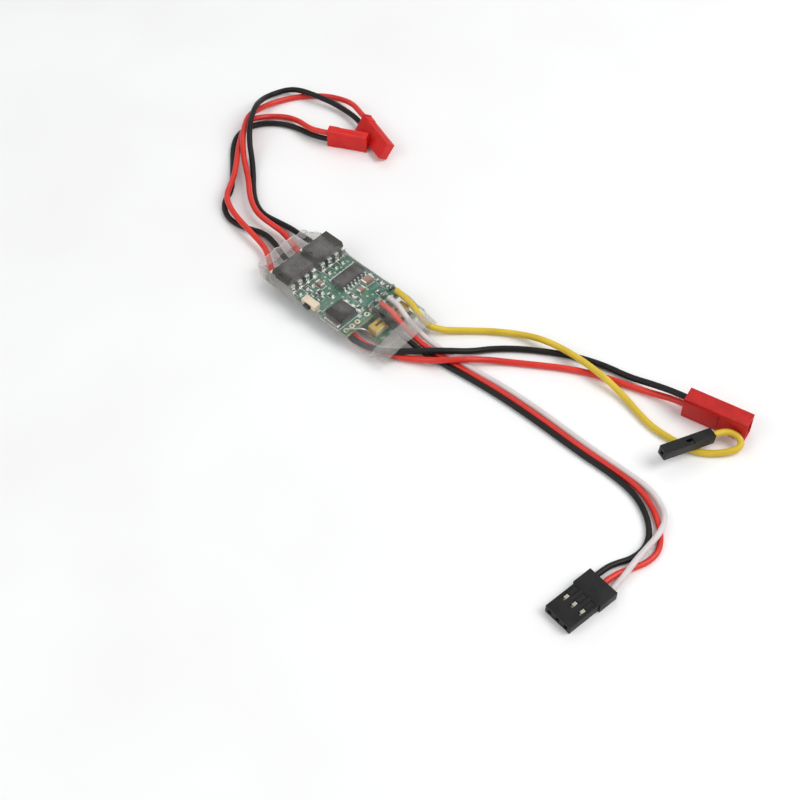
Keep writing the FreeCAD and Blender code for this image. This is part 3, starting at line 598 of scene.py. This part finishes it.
RESISTORS = [(-8.0, -8.4, True), (-8.0, -5.9, True), (-7.9, -4.0, True), (-8.0, 2.2, True),
             (-8.0, 4.7, True), (-8.0, 7.2, True), (-6.2, -6.4, False), (-4.4, -6.0, False),
             (-2.4, -5.9, False), (-4.2, -4.2, True), (-1.4, -3.2, True), (2.3, 0.6, True),
             (4.8, 0.7, True), (4.4, 9.0, True), (6.6, 9.0, True), (7.2, 6.2, True),
             (7.2, -1.1, True)]
ink = []
for x, y, lengthways in RESISTORS:
    ink += bracket_bars(x, y, 2.3, 1.3, lengthways, 0.13)
ink += frame_bars(REGULATOR_X, REGULATOR_Y, 6.4, 8.6)
ink += frame_bars(-6.1, -2.4, 3.0, 1.9)
ink += frame_bars(2.0, 6.9, 2.5, 3.9)
for y in DRIVER_ROWS:
    ink += frame_bars(DRIVER_X, y, 8.6, 9.9, 0.14)
ink += frame_bars(9.0, 6.0, 2.2, 2.0, 0.13) + frame_bars(8.8, 2.6, 1.8, 3.0, 0.13)
ink += [(0.9, -8.6, 0.9, 0.15), (0.9, -8.0, 0.15, 1.2), (10.6, 1.6, 0.15, 2.2)]
flat_bars("silkscreen_lines", SILKSCREEN, "board_green", TOP - 0.008, ink)
flat_bars("lower_silkscreen", SILKSCREEN, "board_green", LOWER_TOP - 0.008,
          [(16.9, 0.2, 0.18, 1.6), (17.3, 4.0, 0.9, 0.7), (12.2, 2.3, 0.16, 2.0)])

pads = []
for y in DRIVER_ROWS:
    for index in range(4):
        for x in (-17.4, -9.3):
            pads.append((x, y + (index - 1.5) * DRIVER_PITCH, 1.2, 1.2))
for index in range(7):
    for x in (-5.15, 0.35):
        pads.append((x, CONTROLLER_Y + (index - 3) * CONTROLLER_PITCH, 1.25, 0.62))
for x, y, lengthways in RESISTORS:
    for way in (-0.8, 0.8):
        pads.append((x + way, y, 0.5, 0.75) if lengthways else (x, y + way, 0.75, 0.5))
pads += [(5.3, -9.4, 4.2, 1.5), (3.0, -1.9, 1.1, 1.5), (5.3, -1.9, 1.1, 1.5),
         (7.6, -1.9, 1.1, 1.5), (7.6, -9.3, 1.5, 1.3), (9.0, -3.2, 0.9, 0.9),
         (10.2, 4.4, 0.8, 1.1), (10.2, 7.4, 0.8, 1.1), (-5.4, -9.1, 0.9, 1.2),
         (0.0, -9.1, 0.9, 1.2), (8.6, 9.2, 1.0, 0.8), (0.8, 9.4, 0.9, 0.8)]
flat_bars("tinned_pads", SOLDER, "tinned_metal", TOP - 0.004, pads)
flat_bars("lower_pads", SOLDER, "tinned_metal", LOWER_TOP - 0.004,
          [(17.0, -2.6, 0.8, 1.0), (11.9, -3.4, 1.1, 0.8), (14.2, 2.2, 1.0, 0.8),
           (17.0, 6.6, 0.9, 1.3), (11.9, 7.6, 0.9, 0.9)])


def via_field(name, places, z):
    """Small plated holes: a bright ring with a black disc in its middle, painted shade where the
    hole goes down.
    """
    rings = []
    hole_shade_discs = []
    for x, y in places:
        rings.append(rod(name, x, y, z, 0.3, 0.02, sides=16))
        # A thin black disc inside each ring: painted shade standing in for the dark inside of the
        # hole.
        hole_shade_discs.append(rod("hole_shade_disc", x, y, z + 0.012, 0.13, 0.014, sides=12))
    ring = join(name, rings)
    give(ring, BRASS_RING)
    hole_shade_disc = join(name + "_wells", hole_shade_discs)
    give(hole_shade_disc, BLACK_HOUSING)
    hand_over(ring, "tinned_metal")
    hand_over(hole_shade_disc, "chip_black")


via_field("vias", [(-7.2, 0.6), (-6.4, -0.6), (-5.6, 9.4), (-6.6, 5.9), (-6.5, 3.4), (-6.9, 8.6),
                   (-0.4, -1.0), (1.2, -1.4), (4.0, 2.6), (5.6, 3.2), (6.2, 4.6), (9.4, 0.4),
                   (8.2, 1.4), (3.9, 5.0), (0.9, 2.2), (-3.5, -1.6), (-9.8, -9.6), (-17.8, 0.4),
                   (10.4, 9.4), (8.9, 4.6), (-5.2, -7.9), (0.6, -4.8)], TOP - 0.004)
via_field("lower_vias", [(16.6, -3.2), (12.4, -1.6), (16.9, 7.8), (12.3, 4.9)], LOWER_TOP - 0.004)


# ---------------------------------------------------------------- chips and small parts

def moulded_chip(name, x, y, z, along, across, high, taper, cad_node, notch=None, dimple=None):
    """A moulded body that draws in above and below its parting line."""
    waist = high / 2
    piece = centred(name, x, y, z, along, across, waist)
    squeeze = ((along - 2 * taper) / along, (across - 2 * taper) / across, 1)
    middle = (x * MM, y * MM, z * MM)
    pick_vertices(piece, lambda place: place.z > z + waist * 0.9)
    bpy.ops.mesh.extrude_region_move(TRANSFORM_OT_translate={"value": (0, 0, waist * MM)})
    bpy.ops.transform.resize(value=squeeze, center_override=middle)
    finish_edit()
    pick_vertices(piece, lambda place: place.z < z + waist * 0.1)
    bpy.ops.transform.resize(value=squeeze, center_override=middle)
    finish_edit()
    activate(piece)
    round_edges(piece, 0.07, 2, 25)
    if notch:
        cut(piece, rod("notch", x, y - across / 2, z + high - 0.45, notch, 2, sides=32))
    if dimple:
        cut(piece, rod("dimple", dimple[0], dimple[1], z + high - 0.1, 0.42, 1, sides=28))
    give(piece, CHIP_EPOXY)
    return hand_over(piece, "chip_black", cad_node)


for letter, y in zip("ab", DRIVER_ROWS):
    moulded_chip("driver_%s_moulding" % letter, DRIVER_X, y, 4.7, 6.4, 9.3, 3.3, 0.22,
                 "driver_%s_body" % letter, 0.9)
moulded_chip("controller_moulding", CONTROLLER_X, CONTROLLER_Y, 4.35, 3.9, 8.65, 1.5, 0.12,
             "controller_chip_body", None, (-3.6, 0.9))
moulded_chip("regulator_moulding", REGULATOR_X, REGULATOR_Y, 4.7, 5.6, 5.8, 1.7, 0.12,
             "regulator_body")
give(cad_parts["regulator_tab"], TINNED)


def solder_fillets(name, places, z):
    """A shiny heap of solder on each place: x, y, along and across."""
    heaps = []
    for x, y, along, across in places:
        clear_selection()
        bpy.ops.mesh.primitive_uv_sphere_add(segments=20, ring_count=10, radius=0.5 * MM,
                                             location=(x * MM, y * MM, z * MM))
        heap = bpy.context.object
        heap.scale = (along, across, 0.36)
        settle(heap)
        heaps.append(heap)
    piece = join(name, heaps)
    activate(piece)
    bpy.ops.object.shade_smooth()
    give(piece, SOLDER)
    return hand_over(piece, "tinned_metal")


feet = []
for y in DRIVER_ROWS:
    for index in range(4):
        feet.append((-17.4, y + (index - 1.5) * DRIVER_PITCH, 0.6, 1.15))
for index in range(7):
    for x in (-5.3, 0.5):
        feet.append((x, CONTROLLER_Y + (index - 3) * CONTROLLER_PITCH, 0.5, 0.42))
solder_fillets("leg_solder", feet, TOP + 0.02)
give(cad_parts["solder_beads"], SOLDER)

shell = block("button_shell", -5.1, -10.25, 4.2, -0.3, -8.05, 6.0)
round_edges(shell, 0.16, 3)
cut(shell, block("hollow", -4.75, -9.9, 4.55, -0.65, -8.4, 5.65),
    block("window", -3.65, -12, 4.65, -1.75, -9.8, 5.55))
give(shell, BUTTON_CREAM)
hand_over(shell, "button_cream", "button_housing")


def yellow_capacitor(name, x, y, node):
    """A moulded capacitor: a yellow case with a dark oblong printed on its top, and its +X side
    paler, painted light where the key lamp falls on it.
    """
    piece = centred(name, x, y, LOWER_TOP + 0.1, 3.0, 5.6, 2.1)
    round_edges(piece, 0.18, 3)
    give(piece, YELLOW_CASE, LIT_SIDE_CASE)
    # The side that faces +X gets the paler case: painted light from the key lamp on that side.
    for face in piece.data.polygons:
        face.material_index = 1 if face.normal.x > 0.6 else 0
    hand_over(piece, "capacitor_yellow", node)
    mark = centred(name + "_mark", x - 0.15, y - 0.1, LOWER_TOP + 2.19, 0.75, 2.5, 0.03)
    round_edges(mark, 0.012, 1)
    give(mark, DARK_MARK)
    hand_over(mark, "chip_black")


yellow_capacitor("smoothing_case_a", 14.2, -1.2, "smoothing_capacitor_a")
yellow_capacitor("smoothing_case_b", 14.2, 5.7, "smoothing_capacitor_b")


# ---------------------------------------------------------------- sleeve

# Sections of the shrunk film: x, low y, high y, underside, and the height at five places
# across the top from low y to high y. It is taut over the chips and loose at both ends.
SECTIONS = [
    (-24.0, -8.2, 10.4, 0.35, (4.3, 4.8, 4.4, 4.9, 4.4)),
    (-21.6, -9.8, 10.9, 0.15, (5.0, 5.3, 4.9, 5.3, 5.1)),
    (-19.6, -11.0, 11.1, 0.05, (6.6, 7.0, 6.6, 7.0, 6.8)),
    (-17.6, -11.1, 11.1, 0.02, (8.3, 8.5, 8.2, 8.5, 8.3)),
    (-16.0, -11.1, 11.1, 0.02, (8.4, 8.4, 8.2, 8.4, 8.4)),
    (-11.2, -11.1, 11.1, 0.02, (8.4, 8.4, 8.2, 8.4, 8.4)),
    (-9.8, -11.1, 11.1, 0.02, (8.2, 8.4, 7.9, 8.4, 8.2)),
    (-7.6, -11.1, 11.1, 0.02, (6.2, 6.6, 6.4, 6.7, 6.1)),
    (-4.6, -11.1, 11.1, 0.02, (6.3, 6.4, 6.0, 6.5, 6.0)),
    (-1.2, -11.1, 11.1, 0.02, (6.3, 6.4, 5.9, 6.4, 6.0)),
    (3.0, -11.1, 11.1, 0.02, (6.2, 7.0, 6.0, 6.3, 5.9)),
    (8.0, -11.1, 11.1, 0.02, (6.1, 6.9, 6.0, 6.3, 6.1)),
    (11.2, -11.0, 11.1, 0.02, (5.2, 5.8, 5.8, 6.1, 6.2)),
    (15.4, -10.9, 11.0, 0.02, (4.0, 4.6, 5.7, 6.2, 6.2)),
    (19.6, -10.4, 10.6, 0.02, (3.8, 4.3, 5.3, 5.5, 5.3)),
    (24.0, -9.6, 10.0, 0.05, (3.9, 4.4, 4.6, 4.7, 4.1)),
]


def section_ring(x, low, high, under, tops):
    """The twelve points of one section, in mm, from under the middle round by the high side."""
    middle = (low + high) / 2
    wide = high - low
    side = min(4.1, tops[4] * 0.6)
    other_side = min(4.1, tops[0] * 0.6)
    ring = [(x, middle, under), (x, high - 3.2, under), (x, high - 0.9, under + 2.2),
            (x, high, side)]
    for place, height in zip((0.93, 0.72, 0.5, 0.28, 0.07), tops[::-1]):
        ring.append((x, low + wide * place, height))
    ring += [(x, low, other_side), (x, low + 0.9, under + 2.2), (x, low + 3.2, under)]
    return ring


def shrunk_film():
    """A sheet rolled into a tube through the sections, drawn smooth, creased and thickened."""
    around = 12
    clear_selection()
    bpy.ops.mesh.primitive_grid_add(x_subdivisions=len(SECTIONS) - 1, y_subdivisions=around,
                                    size=2)
    piece = bpy.context.object
    piece.name = "shrunk_film"
    places = []
    for section in SECTIONS:
        places.append(section_ring(*section))
    for vertex in piece.data.vertices:
        column = round((vertex.co.x + 1) / 2 * (len(SECTIONS) - 1))
        step = round((vertex.co.y + 1) / 2 * around) % around
        vertex.co = Vector(places[column][step]) * MM
    activate(piece)
    bpy.ops.object.mode_set(mode="EDIT")
    bpy.ops.mesh.select_all(action="SELECT")
    bpy.ops.mesh.remove_doubles(threshold=0.00001)
    bpy.ops.mesh.normals_make_consistent(inside=False)
    finish_edit()
    modify(piece, "SUBSURF", levels=3, render_levels=3)
    for vertex in piece.data.vertices:
        place = vertex.co / MM
        if place.z < 0.6:
            continue
        loose = min(1.0, max(abs(place.x + 3) - 12, 0) / 9) * 0.5 + 0.12
        fold = noise.noise(Vector((place.x * 0.32, place.y * 0.55, place.z * 0.5)))
        fine = noise.noise(Vector((place.x * 1.1, place.y * 0.7, 7.0)))
        vertex.co += vertex.normal * (fold * loose + fine * 0.05 - 0.05) * MM
    modify(piece, "SOLIDIFY", thickness=0.12 * MM, offset=-1.0)
    activate(piece)
    bpy.ops.object.shade_smooth()
    give(piece, FILM, FILM_SIDE_SHEEN, FILM_MOUTH, FILM_RIM_HIGHLIGHT)
    for face in piece.data.polygons:
        centre = face.center / MM
        # The cut ends get a pale, nearly opaque band: a painted highlight along the cut edge.
        if abs(centre.x) > 23.75:
            face.material_index = 3
        elif centre.x < -19.2 or centre.x > 19.0:
            face.material_index = 2
        # Faces that turn sideways on the long sides get a greyer, denser cover: painted sheen of
        # film seen edge-on.
        elif abs(face.normal.z) < 0.55 and abs(centre.y) > 9.6:
            face.material_index = 1
    return hand_over(piece, "clear_film", "clear_sleeve")


shrunk_film()


# ---------------------------------------------------------------- the wires' routes, in mm

MOTOR_WIRE = 1.6
BATTERY_WIRE = 1.66
SIGNAL_WIRE = 1.45
YELLOW_WIRE = 1.7

wire("motor_a_red_wire", "red", MOTOR_WIRE,
     [
         (-17.0, -6.4, 2.35), (-20.6, -6.4, 2.35), (-24.0, -3.9, 2.2), (-27.4, -1.8, 2.1),
         (-31.0, -0.9, 2.2), (-35.4, -0.3, 2.65), (-41.4, 0.8, 2.65), (-46.4, 2.4, 2.65),
         (-50.0, 4.6, 2.65), (-52.2, 8.0, 2.65), (-54.2, 11.4, 2.65), (-57.6, 15.5, 2.6),
         (-61.9, 20.2, 2.6), (-66.1, 25.6, 2.6), (-68.6, 30.9, 2.6), (-68.1, 34.6, 1.5),
         (-66.6, 37.6, 0.85), (-63.4, 40.4, 0.83), (-58.6, 40.9, 1.8), (-54.2, 39.6, 3.3),
         (-50.6, 39.5, 3.85), (-46.9, 41.5, 3.85)])
wire("motor_a_black_wire", "black", MOTOR_WIRE,
     [
         (-17.0, -1.0, 2.35), (-20.4, -1.0, 2.35), (-24.4, 0.4, 2.0), (-28.4, 2.0, 1.4),
         (-33.4, 2.9, 0.85), (-38.0, 1.0, 0.82), (-42.8, 0.0, 0.82), (-46.8, 1.0, 0.82),
         (-50.4, 4.0, 0.82), (-51.9, 8.0, 0.82), (-55.4, 11.8, 0.82), (-60.0, 16.2, 0.82),
         (-64.6, 20.4, 0.82), (-67.6, 24.6, 0.82), (-68.2, 29.6, 0.82), (-66.2, 33.9, 0.82),
         (-62.6, 37.2, 0.83), (-57.8, 39.2, 0.83), (-53.2, 39.6, 1.1), (-49.3, 40.2, 1.55),
         (-46.9, 41.5, 1.55)])
wire("motor_b_red_wire", "red", MOTOR_WIRE,
     [
         (-17.0, 3.4, 2.35), (-21.0, 3.4, 2.35), (-25.2, 5.0, 2.1), (-29.6, 6.0, 2.0),
         (-34.0, 5.6, 2.5), (-38.6, 5.8, 2.6), (-42.6, 7.4, 2.6), (-46.4, 10.0, 2.6),
         (-49.4, 12.6, 2.6), (-53.0, 15.2, 2.6), (-57.4, 18.2, 2.7), (-61.5, 21.7, 4.0),
         (-65.7, 26.1, 4.4), (-68.7, 30.8, 4.4), (-70.2, 36.0, 2.4), (-70.6, 41.2, 1.2),
         (-68.8, 46.6, 0.84), (-65.8, 51.0, 0.82), (-61.6, 54.9, 0.83), (-56.6, 56.5, 1.5),
         (-51.2, 55.9, 3.2), (-46.5, 54.0, 4.07), (-42.7, 52.9, 4.07)])
wire("motor_b_black_wire", "black", MOTOR_WIRE,
     [
         (-17.0, 8.4, 2.35), (-20.8, 8.4, 2.35), (-24.6, 8.3, 2.2), (-28.8, 8.9, 1.3),
         (-33.8, 8.5, 0.83), (-38.8, 7.7, 0.82), (-43.4, 9.4, 0.82), (-47.6, 12.4, 0.82),
         (-52.0, 16.6, 0.83), (-56.2, 20.2, 1.9), (-60.0, 22.9, 4.0), (-63.4, 26.4, 6.1),
         (-66.4, 30.2, 6.2), (-69.4, 34.6, 5.3), (-71.6, 38.2, 3.5), (-73.1, 42.0, 1.8),
         (-72.9, 45.8, 1.1), (-70.9, 48.9, 1.6), (-67.3, 50.2, 2.6), (-62.2, 51.6, 2.6),
         (-57.4, 53.2, 1.9), (-52.0, 53.6, 1.7), (-46.9, 53.0, 2.08), (-43.0, 51.84, 2.08)])
wire("battery_black_wire", "black", BATTERY_WIRE,
     [
         (5.0, -8.6, 2.3), (9.4, -8.6, 2.3), (13.4, -8.9, 2.4), (17.8, -8.1, 2.7),
         (21.8, -6.2, 2.95), (25.4, -2.4, 2.75), (29.2, 1.5, 2.8), (32.8, 5.1, 2.5),
         (36.0, 9.2, 1.3), (39.2, 14.0, 0.86), (43.8, 18.4, 0.85), (49.6, 22.6, 0.85),
         (56.4, 26.6, 0.86), (63.4, 29.2, 0.85), (70.6, 30.3, 1.1), (77.4, 31.2, 3.0),
         (83.0, 31.5, 4.7), (87.4, 32.4, 4.7)])
wire("battery_red_wire", "red", BATTERY_WIRE,
     [
         (5.0, -6.2, 2.3), (8.4, -6.6, 1.3), (12.2, -7.3, 1.12), (16.2, -7.0, 1.12),
         (20.4, -5.6, 1.12), (24.4, -4.2, 1.12), (28.6, -1.6, 1.4), (32.6, 0.6, 2.45),
         (37.2, 5.2, 2.65), (40.8, 9.8, 1.5), (45.0, 13.4, 0.86), (50.6, 17.4, 0.85),
         (56.6, 21.6, 0.85), (63.6, 25.4, 0.85), (71.0, 27.9, 0.85), (77.8, 29.9, 1.2),
         (83.4, 31.6, 2.1), (87.4, 32.4, 2.1)])
wire("signal_white_wire", "white", SIGNAL_WIRE,
     [
         (10.4, 6.1, 4.96), (13.8, 6.1, 4.96), (16.8, 4.9, 4.8), (21.2, 4.3, 3.3),
         (26.2, 4.6, 1.4), (31.4, 5.0, 0.76), (40.0, 5.55, 0.75), (50.0, 6.75, 0.75),
         (63.0, 6.95, 0.75), (76.0, 6.45, 0.75), (88.0, 6.75, 0.75), (95.4, 6.6, 0.75),
         (100.6, 4.4, 0.85), (103.6, 1.2, 1.8), (104.9, -3.0, 2.35), (105.2, -7.9, 2.4),
         (105.4, -13.0, 2.3), (105.9, -17.9, 1.6), (106.02, -22.08, 1.3)])
wire("signal_red_wire", "red", SIGNAL_WIRE,
     [
         (10.4, 3.3, 4.96), (13.8, 3.3, 4.96), (16.8, 2.5, 4.7), (21.4, 2.2, 3.2),
         (26.6, 2.6, 1.3), (32.0, 3.3, 0.76), (41.8, 4.3, 0.75), (52.0, 5.1, 0.75),
         (64.0, 5.2, 0.75), (76.0, 4.9, 0.75), (87.0, 5.3, 0.75), (93.6, 4.9, 0.75),
         (98.4, 3.0, 0.75), (102.0, 0.6, 0.75), (105.2, -2.4, 0.75), (107.4, -6.2, 0.75),
         (107.2, -10.4, 0.75), (105.4, -14.2, 0.75), (103.87, -18.42, 1.3), (103.5, -21.8, 1.3)])
wire("signal_black_wire", "black", SIGNAL_WIRE,
     [
         (10.4, 0.5, 4.96), (13.8, 0.5, 4.96), (16.8, -0.1, 4.6), (21.6, 0.2, 3.0),
         (27.0, 0.9, 1.2), (32.6, 1.7, 0.76), (42.0, 2.9, 0.75), (52.0, 3.7, 0.75),
         (64.0, 3.8, 0.75), (76.0, 3.5, 0.75), (86.0, 3.8, 0.75), (92.6, 3.1, 0.75),
         (97.2, 1.2, 0.75), (100.6, -1.2, 0.75), (103.2, -4.2, 0.75), (104.5, -8.0, 0.75),
         (103.9, -12.0, 0.75), (102.2, -15.2, 0.82), (101.35, -18.14, 1.3),
         (100.98, -21.52, 1.3)])
wire("second_signal_wire", "yellow", YELLOW_WIRE,
     [
         (10.2, 9.2, 5.08), (14.4, 9.0, 5.0), (18.2, 8.1, 4.6), (22.2, 7.1, 3.3),
         (25.4, 9.0, 1.5), (30.0, 13.8, 0.88), (35.6, 18.8, 0.87), (41.6, 22.6, 1.2),
         (48.2, 24.2, 2.8), (57.0, 25.3, 2.9), (66.0, 24.9, 2.8), (72.0, 24.7, 1.4),
         (78.0, 23.2, 0.88), (84.0, 21.7, 0.87), (90.0, 21.9, 0.87), (95.4, 22.4, 0.87),
         (99.0, 24.4, 0.88), (102.0, 27.4, 1.1), (103.9, 30.2, 1.7), (103.2, 32.0, 2.5),
         (100.6, 32.1, 3.3), (98.3, 30.2, 3.5), (97.3, 27.6, 3.5)])
